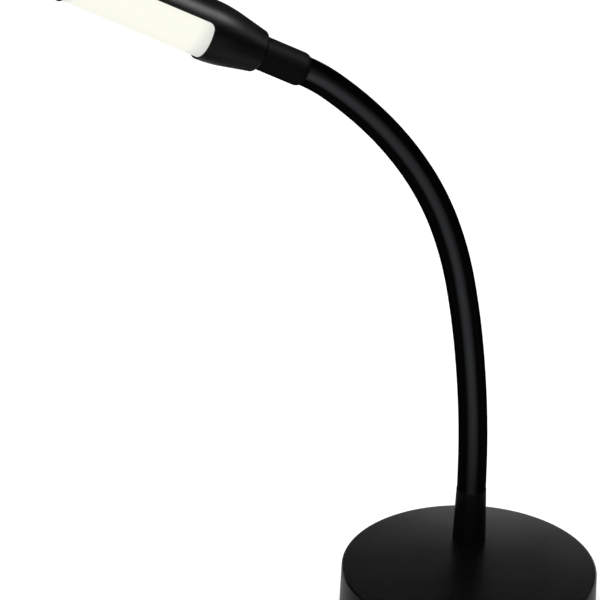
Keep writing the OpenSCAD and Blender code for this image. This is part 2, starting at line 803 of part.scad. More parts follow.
module diffuser() {
    color(lit_white) at_head() difference() {
        tube(diffuser_r, diffuser_r - diffuser_wall, diffuser_z + loose_fit, diffuser_end);
        translate([window_edge + diffuser_rise, -head_r, diffuser_z - cut])
            cube([head_r, head_d, diffuser_end - diffuser_z + 2 * cut]);
    }
}

// ---------- LED strip ----------

module led_carrier() {
    color(aluminium) at_head() difference() {
        translate([carrier_x, -carrier_w / 2, carrier_z]) cube([carrier_t, carrier_w, carrier_l]);
        for (z = carrier_screw_z) translate([carrier_x - cut, 0, z]) rotate([0, 90, 0])
            cylinder(r = carrier_screw_d / 2 + loose_fit, h = carrier_t + 2 * cut);
    }
}

module led_board() {
    color([0.92, 0.92, 0.90]) at_head()
        translate([led_board_x, -led_board_w / 2, led_board_z])
            cube([led_board_t, led_board_w, led_board_end - led_board_z]);
}

module leds() {
    color([0.95, 0.80, 0.25]) at_head() for (k = [0 : led_count - 1])
        translate([led_x, -led_size / 2, led_first + k * led_step]) cube([led_h, led_size, led_size]);
}

module carrier_screws() {
    color(steel) at_head() for (z = carrier_screw_z) translate([carrier_x, 0, z]) rotate([0, 90, 0]) {
        cylinder(r = carrier_screw_d / 2, h = carrier_t + carrier_screw_l);
        translate([0, 0, -led_board_t]) cylinder(r = screw_head_r, h = led_board_t);
    }
}

module head_lead() {
    landing_x = led_board_x - lead_r;
    landing_y = led_board_w / 2 - lead_r;
    color(black_rubber) at_head() wire([
        [0, 0, spindle_end + wide_gap],
        [0, 0, spindle_end + head_lead_rise],
        [landing_x, landing_y, carrier_z],
        [landing_x, landing_y, led_board_z + lead_landing - lead_r - wide_gap]], lead_r, [1, 0, 0]);
}

// ---------- the nodes ----------

base_shell();
base_plate();
base_pad();
ballast();
base_screws();
neck_post();
post_washer();
post_nut();
driver_board();
driver_parts();
board_screws();
push_switch();
switch_plunger();
power_button();
power_inlet();
inlet_pin();
inlet_wires();
base_lead();
for (i = [0 : last]) {
    neck_hose(i);
    neck_sleeve(i);
    neck_lead(i);
}
head_collar();
swivel_spindle();
swivel_washer();
swivel_nut();
head_housing();
end_cap();
diffuser();
led_carrier();
led_board();
leds();
carrier_screws();
head_lead();
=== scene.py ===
# %% [markdown]
# # A gooseneck desk lamp, dressed around its solids
# The lamp is already built as solids: a weighted round base, a steel hose in eight joints, a
# collar with a swivel and a tubular head. This lesson gives it the surfaces that a hand and an
# eye meet: rounded edges, one unbroken sleeve over the hose, a lit diffuser, and plastics, rubber
# and metals with their own grain. It starts by loading the solids as a fixed frame. Everything
# that follows is in metres in that frame, so a piece goes where its solid is.

# %% Load the frame
import json
import math

import bmesh
import bpy
import numpy as np
from mathutils import Matrix, Vector


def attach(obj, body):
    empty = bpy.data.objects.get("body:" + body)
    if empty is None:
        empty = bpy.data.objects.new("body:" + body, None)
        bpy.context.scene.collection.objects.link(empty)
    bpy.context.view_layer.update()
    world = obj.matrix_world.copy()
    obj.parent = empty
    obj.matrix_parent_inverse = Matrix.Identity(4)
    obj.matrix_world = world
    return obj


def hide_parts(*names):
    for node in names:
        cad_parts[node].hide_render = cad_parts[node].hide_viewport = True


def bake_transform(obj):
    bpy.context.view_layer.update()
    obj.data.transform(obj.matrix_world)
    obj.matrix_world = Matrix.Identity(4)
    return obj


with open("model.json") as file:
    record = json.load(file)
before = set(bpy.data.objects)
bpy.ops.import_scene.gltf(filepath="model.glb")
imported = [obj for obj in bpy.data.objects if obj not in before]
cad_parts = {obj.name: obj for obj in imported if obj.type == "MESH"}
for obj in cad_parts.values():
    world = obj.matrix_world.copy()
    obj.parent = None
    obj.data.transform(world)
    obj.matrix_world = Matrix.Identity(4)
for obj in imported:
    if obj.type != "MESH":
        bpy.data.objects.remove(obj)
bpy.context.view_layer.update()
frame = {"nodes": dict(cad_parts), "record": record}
MM = 0.001

# %% [markdown]
# ## The camera
# A long lens from four metres away keeps the sides of the base almost parallel, as a product
# picture does. The camera looks down by 28 degrees and leans over by 2, so that the lamp seems to
# tip a little to the left. It is placed from a point on the lamp's upright axis and a shift within
# the picture, because those two are easier to change than a position in the air.

# %% Place the camera
DOWN, LEAN = math.radians(28.08), math.radians(2.04)
FAR_AWAY = 4.0
SENSOR, LENS = 36.0, 437.98
CLIP_START, CLIP_END = 0.1, 60
# what the camera looks at: a height on the lamp's axis, then a shift to the right and up
AIM_HEIGHT, SHIFT_RIGHT, SHIFT_UP = 30 * MM, -97.9 * MM, 143.3 * MM

# right, up and back of the camera before it leans, then right and up after it leans
right0, up0 = Vector((1, 0, 0)), Vector((0, math.sin(DOWN), math.cos(DOWN)))
back = Vector((0, -math.cos(DOWN), math.sin(DOWN)))
c, s = math.cos(LEAN), math.sin(LEAN)
right, up = c * right0 + s * up0, c * up0 - s * right0
look_at = Vector((0, 0, AIM_HEIGHT)) + right0 * SHIFT_RIGHT + up0 * SHIFT_UP
camera = bpy.data.objects.new("camera", bpy.data.cameras.new("camera"))
camera.data.sensor_width, camera.data.lens = SENSOR, LENS
camera.data.clip_start, camera.data.clip_end = CLIP_START, CLIP_END
camera.matrix_world = Matrix.Translation(look_at + back * FAR_AWAY) @ Matrix(
    (right, up, back)).transposed().to_4x4()
bpy.context.scene.collection.objects.link(camera)
bpy.context.scene.camera = camera
print("camera at, mm:", [round(x / MM) for x in camera.matrix_world.translation])

# %% [markdown]
# ## Helpers for shader nodes
# The background, the lamps' reflections and every finish are small trees of shader nodes. Adding
# and joining nodes one by one takes many lines, so a few helpers do it: one empties a tree, one
# fills a node's inputs, one adds a node, one calculates, and one maps a value from one range to
# another. Two more give a point's place on its own object and its distance from the lamp's foot.

# %% Add, calculate and map
def empty_tree(holder):
    """The node tree of a new material or world, without its first nodes."""
    holder.use_nodes = True
    holder.node_tree.nodes.clear()
    return holder.node_tree


def is_socket(value):
    return isinstance(value, bpy.types.NodeSocket)


def fill(tree, made, inputs):
    """Fills a node's inputs, each with a number, a colour or another node's output."""
    for key, value in inputs.items():
        if is_socket(value):
            tree.links.new(value, made.inputs[key])
        else:
            made.inputs[key].default_value = value
    return made


def node(tree, kind, inputs=None, **settings):
    """Adds a node, makes its settings and fills its inputs."""
    made = tree.nodes.new("ShaderNode" + kind)
    for key, value in settings.items():
        setattr(made, key, value)
    return fill(tree, made, inputs or {})


def math_node(tree, operation, *inputs):
    """Calculates with numbers and other nodes' outputs."""
    return node(tree, "Math", dict(enumerate(inputs)), operation=operation).outputs[0]


def spread(tree, value, low, high, to_low=0.0, to_high=1.0, smooth=False):
    """Maps a value from low..high to another range, held at its ends."""
    made = node(tree, "MapRange", {"Value": value, "From Min": low, "From Max": high,
                                   "To Min": to_low, "To Max": to_high})
    if smooth:
        made.interpolation_type = "SMOOTHSTEP"
    return made.outputs[0]


def own_place(tree):
    """Where a point lies on its own object, in metres."""
    return node(tree, "TexCoord").outputs["Object"]


def distance_out(tree):
    """How far a point lies from the lamp's foot, in metres."""
    return node(tree, "VectorMath", {0: own_place(tree)}, operation="LENGTH").outputs["Value"]


print("node helpers:", [helper.__name__ for helper in (
    empty_tree, fill, node, math_node, spread, own_place, distance_out)])

# %% [markdown]
# ## Floor and background
# The lamp stands on a plain white floor in a white room. Brightening the lamps until the floor
# burns out would also wash out the lamp itself, so the white comes from the colours instead. The
# room is plain white to the camera and to reflections, and gives only a quiet, even light to
# everything else. The floor is a pale matt sheet that adds a little white of its own in the same
# places, and so it still takes the lamp's shadow. That white grows with the distance, where the
# lamps no longer reach.

# %% Make the room and the floor
WHITE = (1, 1, 1, 1)
ROOM_LIGHT = 0.42
FLOOR_COLOUR = (0.80, 0.80, 0.80, 1)
FLOOR_REACH, FLOOR_DROP = 12.0, 0.1 * MM
# the floor's own white, near the lamp and far out, and the distances between which it grows
NEAR_GLOW, FAR_GLOW = 0.42, 1.0
GLOW_STARTS, GLOW_ENDS = 1.2, 3.5

scene = bpy.context.scene
scene.view_settings.view_transform = "Standard"


def seen_directly(tree):
    """1 for camera, glossy and transmission rays, which have to meet white, and 0 for the rest."""
    path = node(tree, "LightPath").outputs
    return math_node(tree, "MAXIMUM", path["Is Camera Ray"], math_node(
        tree, "MAXIMUM", path["Is Glossy Ray"], path["Is Transmission Ray"]))


def split_rays(tree, output, others, direct):
    """Ends a tree with one shader for direct rays and another for all others."""
    choose = node(tree, "MixShader", {
        0: seen_directly(tree), 1: others.outputs[0], 2: direct.outputs[0]})
    node(tree, output, {0: choose.outputs[0]})


def flat_sheet(name, corners, finish):
    """A flat piece of the studio, which isn't part of the lamp."""
    mesh = bpy.data.meshes.new(name)
    mesh.from_pydata(corners, [], [tuple(range(len(corners)))])
    mesh.materials.append(finish)
    sheet = bpy.data.objects.new(name, mesh)
    scene.collection.objects.link(sheet)
    return sheet


scene.world = bpy.data.worlds.new("white_room")
tree = empty_tree(scene.world)
quiet, white = (node(tree, "Background", {"Color": WHITE, "Strength": s}) for s in (ROOM_LIGHT, 1))
split_rays(tree, "OutputWorld", quiet, white)

paper = bpy.data.materials.new("floor_paper")
tree = empty_tree(paper)
matt = node(tree, "BsdfDiffuse", {"Color": FLOOR_COLOUR})
glow = node(tree, "Emission", {"Strength": spread(
    tree, distance_out(tree), GLOW_STARTS, GLOW_ENDS, NEAR_GLOW, FAR_GLOW)})
both = node(tree, "AddShader", {0: matt.outputs[0], 1: glow.outputs[0]})
split_rays(tree, "OutputMaterial", matt, both)

flat_sheet("floor", [(x * FLOOR_REACH, y * FLOOR_REACH, -FLOOR_DROP)
                     for x, y in ((-1, -1), (1, -1), (1, 1), (-1, 1))], paper)
print("floor", FLOOR_REACH * 2, "m wide")

# %% [markdown]
# ## Lamps
# Two large softboxes, in front and behind, give the plain level of light and soft shadows. Small
# or strong ones would draw hard shadows and burn out what is pale. Both are hidden from the camera.

# %% Hang the softboxes
LAMP_MIDDLE = (-0.09, 0.0, 0.2)


def softbox(name, place, size, watts):
    """A softbox that points at the middle of the desk lamp."""
    light = bpy.data.lights.new(name, "AREA")
    light.shape = "RECTANGLE"
    light.size, light.size_y = size
    light.energy = watts
    thing = bpy.data.objects.new(name, light)
    away = Vector(place) - Vector(LAMP_MIDDLE)
    turn = away.to_track_quat("Z", "Y").to_matrix().to_4x4()
    thing.matrix_world = Matrix.Translation(place) @ turn
    thing.visible_camera = False
    scene.collection.objects.link(thing)
    print(name, "at", round(away.length, 2), "m,", watts, "W")


softbox("front_softbox", (-0.15, -1.30, 1.50), (1.1, 1.1), 15)
softbox("rear_softbox", (-0.25, 0.8, 1.8), (1.4, 1.0), 14)

# %% [markdown]
# ## How bright the cards are
# A black object shows its form by what it reflects, so cards stand around it, as in a studio. They
# glow, but only reflections see them. Most have one brightness, and black is one too. Three are
# graded, because a card of one brightness would draw a patch with hard ends: the one behind the
# base, the one above the head, and a mat on the floor.

# %% Make the cards' finishes
MAT_GREY = 0.46


def card_finish(name, level):
    """Glows at a level: a number, or a function that works the level out in the tree."""
    finish = bpy.data.materials.new(name)
    tree = empty_tree(finish)
    shine = node(tree, "Emission", {"Strength": level(tree) if callable(level) else level})
    node(tree, "OutputMaterial", {0: shine.outputs[0]})
    return finish


def split_place(tree):
    """X, Y and Z of a point on a card."""
    return node(tree, "SeparateXYZ", {"Vector": own_place(tree)}).outputs


def rising(tree, z, low, high, bottom, top, curve):
    """From bottom at height low to top at height high. A higher curve drops faster at first."""
    bent = math_node(tree, "POWER", spread(tree, z, low, high, 1, 0), curve)
    return math_node(tree, "MULTIPLY_ADD", bent, bottom - top, top)


def fade_out(tree, value, start, end):
    return spread(tree, value, start, end, 1, 0, smooth=True)


def base_level(tree):
    """Bright at its foot, steeper behind the post, and a little brighter to the right."""
    place = split_place(tree)
    level = rising(tree, place["Z"], low=0.058, high=0.20, bottom=3.5, top=0.035, curve=10)
    behind_post = fade_out(tree, math_node(tree, "ABSOLUTE", place["X"]), start=0.010, end=0.055)
    steeper = spread(tree, place["Z"], 0.072, 0.092, to_low=0.35, to_high=-0.80, smooth=True)
    rightward = spread(tree, place["X"], -0.02, 0.06, to_low=1.0, to_high=1.15)
    return math_node(tree, "MULTIPLY", level, math_node(
        tree, "MULTIPLY_ADD", behind_post, steeper, rightward))


def head_level(tree):
    """Brighter towards its top."""
    return rising(tree, split_place(tree)["Z"], low=0.54, high=0.64, bottom=6, top=34, curve=1)


def mat_level(tree):
    """White towards the front and in a narrow line at either side, grey by the base, else black."""
    place = split_place(tree)
    forward = math_node(tree, "MULTIPLY", place["Y"], -1.0)
    # the angle from straight ahead, to either side, and the angle from the side itself
    turn = math_node(tree, "ABSOLUTE", math_node(tree, "ARCTAN2", place["X"], forward))
    from_side = math_node(tree, "ABSOLUTE", math_node(tree, "SUBTRACT", turn, math.radians(90)))
    front = fade_out(tree, turn, start=math.radians(33), end=math.radians(56))
    line = fade_out(tree, from_side, start=math.radians(4), end=math.radians(13))
    near = fade_out(tree, distance_out(tree), start=0.10, end=0.17)
    far = math_node(tree, "MULTIPLY", math_node(tree, "MAXIMUM", front, line),
                    math_node(tree, "SUBTRACT", 1.0, near))
    return math_node(tree, "MULTIPLY_ADD", near, MAT_GREY, far)


shines = {name: card_finish(name, level) for name, level in {
    "black_card": 0, "dim_card": 0.07, "neck_shine": 1.2, "tail_shine": 3,
    "base_shine": base_level, "head_shine": head_level, "mat_card": mat_level}.items()}
print("card finishes:", list(shines))

# %% [markdown]
# ## Cards round the neck
# Black cards at the sides and a dim one behind give the round neck dark sides beside its bright
# middle, and a strip on the right brightens its arch. The mat does the same lower down: it is white
# in front, grey close round the base, where the wall mirrors it, and black behind. Slots in the
# side cards and thin white lines in the mat keep one bright line on the neck seen from the side.

# %% Stand the side cards and lay the mat
CARD_BACK, CARD_TOP = 0.50, 0.90
RIGHT_X, RIGHT_FRONT = 0.32, -0.75
LEFT_X, LEFT_FRONT = -0.42, -0.38
# cut-outs as (y, z): a slot in the foot of each side card, where the floor draws a line along the
# neck, and an opening in front in the right one, so that the upper neck shows the white room
SLOT = [(-0.04, 0), (-0.04, 0.12), (0.07, 0.12), (0.07, 0)]
OPENING = [(RIGHT_FRONT, 0.30), (-0.30, 0.30), (-0.30, 0.10), (RIGHT_FRONT, 0.10)]
# the mat starts at an angle from straight ahead, to either side, and lies between two circles,
# just above the floor
MAT_FROM, MAT_IN, MAT_OUT, MAT_Z, MAT_STEPS = 32, 0.05, 0.75, 0.0005, 75


def add_card(name, corners, finish):
    """A card that shows only in reflections."""
    card = flat_sheet(name, corners, shines[finish])
    for kind in ("camera", "diffuse", "transmission", "volume_scatter", "shadow"):
        setattr(card, "visible_" + kind, False)
    return card


def side_card(name, x, front, opening=()):
    """An upright black card along the Y axis."""
    outline = [(front, 0), *SLOT, (CARD_BACK, 0), (CARD_BACK, CARD_TOP), (front, CARD_TOP),
               *opening]
    return add_card(name, [(x, y, z) for y, z in outline], "black_card")


def upright(start, end, low, high):
    """Corners of a card that stands above a line on the floor, between two heights."""
    return [(*start, low), (*end, low), (*end, high), (*start, high)]


side_card("right_card", RIGHT_X, RIGHT_FRONT, OPENING)
side_card("left_card", LEFT_X, LEFT_FRONT)
neck_card = add_card("neck_card", upright((0.315, -0.32), (0.315, -0.14), 0.04, 0.27),
                     "neck_shine")
rear_card = add_card("rear_card", upright((LEFT_X, 0.24), (RIGHT_X, 0.24), 0.12, CARD_TOP),
                     "dim_card")
turns = np.radians(np.linspace(MAT_FROM, 360 - MAT_FROM, MAT_STEPS))
add_card("floor_mat", [(r * math.sin(a), -r * math.cos(a), MAT_Z)
                       for r, way in ((MAT_OUT, 1), (MAT_IN, -1)) for a in turns[::way]],
         "mat_card")

# %% [markdown]
# ## Cards for the base and the head
# A graded card close behind the base shines along its top. The notch in the card's foot keeps the
# lower edge of the head's tail dark. Two small bright cards at the upper right draw the light along
# the back of the head and down its tail.

# %% Stand the bright cards
# the outline as (x, z), and how far the card stands behind the lamp's axis, less to the right
BASE_CARD = [(-0.25, 0.02), (-0.149, 0.02), (-0.149, 0.10), (-0.088, 0.10), (-0.088, 0.02),
             (0.30, 0.02), (0.30, 0.30), (-0.25, 0.30)]
BASE_CARD_Y, BASE_CARD_SLANT = 0.135, 0.12
HEAD_CARD = [(0.20, -0.05, 0.53), (0.20, 0.11, 0.53), (0.10, 0.11, 0.73), (0.10, -0.05, 0.73)]

base_card = add_card(
    "base_card", [(x, BASE_CARD_Y - BASE_CARD_SLANT * x, z) for x, z in BASE_CARD], "base_shine")
head_card = add_card("head_card", HEAD_CARD, "head_shine")
tail_card = add_card("tail_card", upright((0.20, -0.05), (0.20, 0.07), 0.43, 0.52), "tail_shine")
print("bright cards:", [card.name for card in (base_card, head_card, tail_card)])

# %% [markdown]
# ## Shapes turned on an axis
# Most of this lamp is round, as things are that come off a lathe or out of a round mould. Such a
# piece is given by its outline alone: a list of points with a radius, a height and the rounding
# of that corner. A function puts an arc in place of each corner, so that every edge gets the
# radius that the mould gives it. That is more exact than a bevel on a cylinder.

# %% Round the corners of an outline
def rounded(points, closed=False, steps=6):
    """Points are (radius, height) or (radius, height, rounding), in millimetres."""
    out, n = [], len(points)
    for k, point in enumerate(points):
        p, r = np.array(point[:2], float), (point[2] if len(point) > 2 else 0)
        if not r or (not closed and k in (0, n - 1)):
            out.append(tuple(p))
            continue
        a, b = (np.array(points[(k + d) % n][:2], float) - p for d in (-1, 1))
        a, b = a / np.linalg.norm(a), b / np.linalg.norm(b)
        half = math.acos(np.clip(a @ b, -1, 1)) / 2
        centre = p + (a + b) / np.linalg.norm(a + b) * r / math.sin(half)
        first, final = p + a * r / math.tan(half) - centre, p + b * r / math.tan(half) - centre
        start = math.atan2(first[1], first[0])
        sweep = (math.atan2(final[1], final[0]) - start + math.pi) % (2 * math.pi) - math.pi
        for j in range(steps + 1):
            angle = start + sweep * j / steps
            out.append((centre[0] + r * math.cos(angle), centre[1] + r * math.sin(angle)))
    return out


def arc(x, y, r, start, end, steps=8):
    """Points along an arc of a circle, for outlines."""
    angles = np.radians(np.linspace(start, end, steps + 1))
    return [(x + r * math.cos(a), y + r * math.sin(a)) for a in angles]


print("a corner of 1 mm has", len(rounded([(0, 0), (5, 0, 1), (5, 5)])) - 2, "points")

# %% [markdown]
# ## Turning the outline
# A second function turns an outline around an axis, as a lathe does. It also gives the piece a map
# that runs once around it one way and along the outline in metres the other way. Where it turns
# through less than the whole circle, it closes both ends. A helper that other shapes share too
# makes the object and keeps only its sharp edges sharp.

# %% Turn an outline around an axis
def make_object(name, mesh):
    """An object from a mesh: smooth, but for edges that turn by more than 35 degrees."""
    mesh.validate()
    for face in mesh.polygons:
        face.use_smooth = True
    mesh.set_sharp_from_angle(angle=math.radians(35))
    thing = bpy.data.objects.new(name, mesh)
    scene.collection.objects.link(thing)
    return thing


def turned(name, outline, at=Matrix.Identity(4), steps=128, closed=False, sector=(0, 360)):
    """Turns an outline in millimetres around the Z axis of the frame at."""
    whole = sector[1] - sector[0] >= 360
    angles = np.radians(np.linspace(*sector, steps + 1))
    columns = steps if whole else steps + 1
    n = len(outline)
    verts = [(r * math.cos(a), r * math.sin(a), z) for a in angles[:columns] for r, z in outline]
    rows = [(k, (k + 1) % n) for k in range(n if closed else n - 1)]
    travel = np.cumsum([0] + [math.dist(outline[k % n], outline[(k + 1) % n]) for k in range(n)])
    faces, uvs = [], []
    for j in range(steps):
        a, b = j * n, (j + 1) % columns * n
        for k, (low, high) in enumerate(rows):
            faces.append((a + low, b + low, b + high, a + high))
            u, v = (j / steps, (j + 1) / steps), (travel[k] * MM, travel[k + 1] * MM)
            uvs += [(u[0], v[0]), (u[1], v[0]), (u[1], v[1]), (u[0], v[1])]
    if not whole and closed:
        for column in (0, steps):
            ring = [column * n + k for k in range(n)]
            faces.append(ring if column else ring[::-1])
            uvs += [(column / steps, 0)] * n
    mesh = bpy.data.meshes.new(name)
    mesh.from_pydata([tuple(Vector(v) * MM) for v in verts], [], faces)
    layer = mesh.uv_layers.new(name="turn_and_travel")
    layer.data.foreach_set("uv", np.array(uvs, np.float32).ravel())
    bm = bmesh.new()
    bm.from_mesh(mesh)
    bmesh.ops.remove_doubles(bm, verts=bm.verts, dist=1e-7)
    bmesh.ops.recalc_face_normals(bm, faces=bm.faces)
    bm.to_mesh(mesh)
    bm.free()
    mesh.transform(at)
    return make_object(name, mesh)


print("shape helpers:", [helper.__name__ for helper in (rounded, arc, make_object, turned)])

# %% [markdown]
# ## Applying modifiers
# Holes, walls and bevels come from modifiers. Each is applied at once, so that the next step
# starts from a plain mesh. The last one gives the large faces the lead in the shading, because a
# flat top would look bent beside its small rounded edge.

# %% Apply modifiers and weight the normals
def settle(thing):
    """Applies an object's modifiers to its mesh."""
    bpy.context.view_layer.update()
    made = bpy.data.meshes.new_from_object(
        thing.evaluated_get(bpy.context.evaluated_depsgraph_get()))
    thing.modifiers.clear()
    thing.data = made
    return thing


def weight_normals(thing):
    """Keeps large flat faces flat to the eye beside their small rounded edges."""
    thing.modifiers.new("flat_faces_lead", "WEIGHTED_NORMAL").keep_sharp = True
    return settle(thing)


print("modifier helpers:", [helper.__name__ for helper in (settle, weight_normals)])

# %% [markdown]
# ## Frames along the neck and the head
# The neck is one hose that stands in an arch. Along it lie nine stretches that each bend with one
# radius, and the first and the last are half as long as the rest. A function gives the place and
# the directions at any distance from the post: outwards from the arch, sideways, and along the
# neck. The head's own frame follows from the one at the end of the neck, turned about the head's
# axis by 26 degrees, the way the head is twisted on its swivel.

# %% Walk along the neck
POST_BACK, POST_TOP = 34.5, 61.0
ARCH_YAW = math.radians(14)
NECK_LENGTH = 298.0
PITCH = NECK_LENGTH / 8
BENDS = [1, 3.5, 3, 4, 9, 11.5, 10, 9, 11]
STRETCHES = [PITCH / 2] + [PITCH] * 7 + [PITCH / 2]
HEAD_ROLL = math.radians(26)


def neck_frame(s):
    """Frame at s millimetres along the neck: X outwards from the arch, Z along the neck."""
    out = height = heading = 0.0
    left = s
    for length, bend in zip(STRETCHES, np.radians(BENDS)):
        step = min(max(left, 0), length)
        turn = bend * step / length
        radius = length / bend
        out += radius * (math.cos(heading) - math.cos(heading + turn))
        height += radius * (math.sin(heading + turn) - math.sin(heading))
        heading += turn
        left -= step
        if left <= 0:
            break
    beyond = s if s < 0 else max(left, 0)
    out += beyond * math.sin(heading)
    height += beyond * math.cos(heading)
    yaw = Matrix.Translation((0, POST_BACK * MM, POST_TOP * MM)) @ Matrix.Rotation(ARCH_YAW, 4, "Z")
    return yaw @ Matrix.Translation((-out * MM, 0, height * MM)) @ Matrix.Rotation(-heading, 4, "Y")


collar_at = neck_frame(NECK_LENGTH)
head_at = collar_at @ Matrix.Rotation(HEAD_ROLL, 4, "Z")
print("head starts at, mm:", [round(x / MM, 1) for x in head_at.translation])

# %% [markdown]
# ## Effects that several finishes share
# No plastic is one flat colour. A mould leaves a fine even grain, the surface drifts a little in
# tone from place to place, and dust settles on what faces up. Each of these is a group of shader
# nodes with named inputs and outputs. It is built once and placed in every finish that needs it,
# with its own values. The groups put out only masks and heights, and the shader itself stays in
# each finish. The grain comes first: small pits, deeper where a second noise is high.

# %% Build the moulded grain
def new_group(name, label, value, outputs):
    """A group that takes a place and one number. Returns it with its input and output nodes."""
    group = bpy.data.node_groups.new(name, "ShaderNodeTree")
    group.interface.new_socket("Place", in_out="INPUT", socket_type="NodeSocketVector")
    number = group.interface.new_socket(label, in_out="INPUT", socket_type="NodeSocketFloat")
    number.default_value = value
    for output in outputs:
        group.interface.new_socket(output, in_out="OUTPUT", socket_type="NodeSocketFloat")
    return group, group.nodes.new("NodeGroupInput"), group.nodes.new("NodeGroupOutput")


def noise(tree, place, scale, detail, roughness=0.5, distortion=0.0):
    return node(tree, "TexNoise", {"Vector": place, "Scale": scale, "Detail": detail,
                                   "Roughness": roughness, "Distortion": distortion}).outputs["Fac"]


grain, given, result = new_group("moulded_grain", "Cells per metre", 3500.0, ("Height", "Tone"))
place, cells = given.outputs["Place"], given.outputs["Cells per metre"]
coarse = noise(grain, place, cells, 3.0, 0.6)
pits = node(grain, "TexVoronoi", {"Vector": place, "Scale": cells}).outputs["Distance"]
height = math_node(grain, "MULTIPLY", spread(grain, pits, 0.0, 0.9),
                   spread(grain, coarse, 0.3, 0.7, 0.5))
fill(grain, result, {"Height": height, "Tone": spread(grain, coarse, 0.35, 0.65)})
print("node group:", grain.name)

# %% [markdown]
# ## Drift and dust
# The drift is one slow noise. The dust is a fine one, kept to patches and to what faces up, so that
# walls stay clean.

# %% Build the drift and the dust
drift, given, result = new_group("slow_drift", "Waves per metre", 30.0, ("Value",))
waves = noise(drift, given.outputs["Place"], given.outputs["Waves per metre"], 4.0, 0.55, 0.4)
fill(drift, result, {"Value": spread(drift, waves, 0.3, 0.7)})

dust, given, result = new_group("settled_dust", "Amount", 0.3, ("Mask",))
specks = spread(dust, noise(dust, given.outputs["Place"], 900.0, 6.0, 0.75), 0.5, 0.75)
patches = spread(dust, noise(dust, given.outputs["Place"], 25.0, 2.0), 0.35, 0.65, 0.2)
normal = node(dust, "NewGeometry").outputs["Normal"]
upward = node(dust, "SeparateXYZ", {"Vector": normal}).outputs["Z"]
settled = math_node(dust, "MULTIPLY", math_node(dust, "MULTIPLY", specks, patches),
                    spread(dust, upward, 0.3, 0.9))
fill(dust, result, {"Mask": math_node(dust, "MULTIPLY", settled, given.outputs["Amount"])})
print("node groups:", drift.name, dust.name)

# %% [markdown]
# ## Drawn lines
# Metal that was drawn, rolled or turned has fine lines in one direction. A noise that is stretched
# out across the piece's Z axis looks like them.

# %% Build the drawn lines
LINE_STRETCH = (0.03, 0.03, 1.0)
scratches, given, result = new_group("drawn_lines", "Lines per metre", 4000.0, ("Height", "Tone"))
drawn_out = node(scratches, "Mapping", {"Vector": given.outputs["Place"], "Scale": LINE_STRETCH})
lines = noise(scratches, drawn_out.outputs[0], given.outputs["Lines per metre"], 3.0, 0.6)
fill(scratches, result, {"Height": lines, "Tone": spread(scratches, lines, 0.35, 0.65)})
print("node groups:", sorted(g.name for g in bpy.data.node_groups))

# %% [markdown]
# ## What every finish does
# Every finish starts the same way: a material, its shader, and the groups placed on the piece. It
# also ends the same way. Colour, roughness and bump come from nodes, and everything that is
# constant sits on the shader's own sockets, where an export can read it.

# %% Helpers for finishes
def tone_mix(tree, factor, low, high):
    """From low to high as factor goes from 0 to 1. Each is a colour or another node's output."""
    low, high = (c if is_socket(c) else (*c, 1) for c in (low, high))
    return node(tree, "Mix", {0: factor, 6: low, 7: high}, data_type="RGBA").outputs[2]


def use_group(tree, group, **values):
    """Places a group on the piece, in metres, with its own value. Returns its outputs."""
    made = node(tree, "Group", node_tree=group)
    given = {key.replace("_", " "): value for key, value in values.items()}
    return fill(tree, made, {"Place": own_place(tree), **given}).outputs


def start_finish(name):
    """A material with its tree and its Principled BSDF."""
    finish = bpy.data.materials.new(name)
    finish.use_nodes = True
    return finish, finish.node_tree, finish.node_tree.nodes["Principled BSDF"]


def cover(tree, shader, colour, rough, height, depth, strength=1.0, levels=None):
    """Gives the shader its colour, roughness, a bump of depth millimetres, and other levels."""
    bump = node(tree, "Bump", {"Height": height, "Strength": strength, "Distance": depth * MM})
    fill(tree, shader, {"Base Color": colour, "Roughness": rough, "Normal": bump.outputs[0],
                        **(levels or {})})


print("finish helpers:", [helper.__name__ for helper in (tone_mix, use_group, start_finish, cover)])

# %% [markdown]
# ## Black plastics and rubber
# The base, the head and the neck are all black, but not the same black. The base and head are
# moulded plastic with a satin grain. The neck's sleeve is softer and blacker, with less of a sheen.
# One function makes them all: two close tones mixed by grain and drift, a roughness that wanders
# around its middle value, a little dust, and the grain as a bump.

# %% Make the soft black finishes
COOL_TINT = (0.92, 0.95, 1.0, 1)
DUST_COLOUR = (0.10, 0.10, 0.095)
GRAIN_SHARE, DUST_ROUGHNESS = 0.35, 0.3
# how far a surface has to turn away before its gloss has faded, on the scale of Layer Weight
TURNED_AWAY = 0.215


def moulded(name, colour, roughness, gloss, cells=3500.0, depth=0.01, drift_amount=0.15,
            rough_drift=0.06, dusty=0.15, side_gloss=None):
    """Black moulded plastic or rubber. Depth is the height of the grain in millimetres."""
    finish, tree, shader = start_finish(name)
    fine = use_group(tree, grain, Cells_per_metre=cells)
    slow = use_group(tree, drift, Waves_per_metre=35.0)["Value"]
    layer = use_group(tree, dust, Amount=dusty)["Mask"]
    mixed = math_node(tree, "MULTIPLY_ADD", fine["Tone"], GRAIN_SHARE,
                      math_node(tree, "MULTIPLY", slow, 1 - GRAIN_SHARE))
    clean = tone_mix(tree, mixed, *(tuple(c * (1 + way * drift_amount) for c in colour)
                                    for way in (-1, 1)))
    rough = spread(tree, slow, 0, 1, roughness - rough_drift, roughness + rough_drift)
    cover(tree, shader, tone_mix(tree, layer, clean, DUST_COLOUR),
          math_node(tree, "MULTIPLY_ADD", layer, DUST_ROUGHNESS, rough),
          fine["Height"], depth, levels={"Specular IOR Level": gloss})
    if side_gloss is not None:
        # soft rubber has a fine nap that swallows the sheen where the surface turns away
        turning = node(tree, "LayerWeight", {"Blend": 0.5}).outputs["Facing"]
        fading = spread(tree, turning, 0.0, TURNED_AWAY, gloss, side_gloss)
        fill(tree, shader, {"Specular Tint": COOL_TINT, "Specular IOR Level": fading})
    return finish


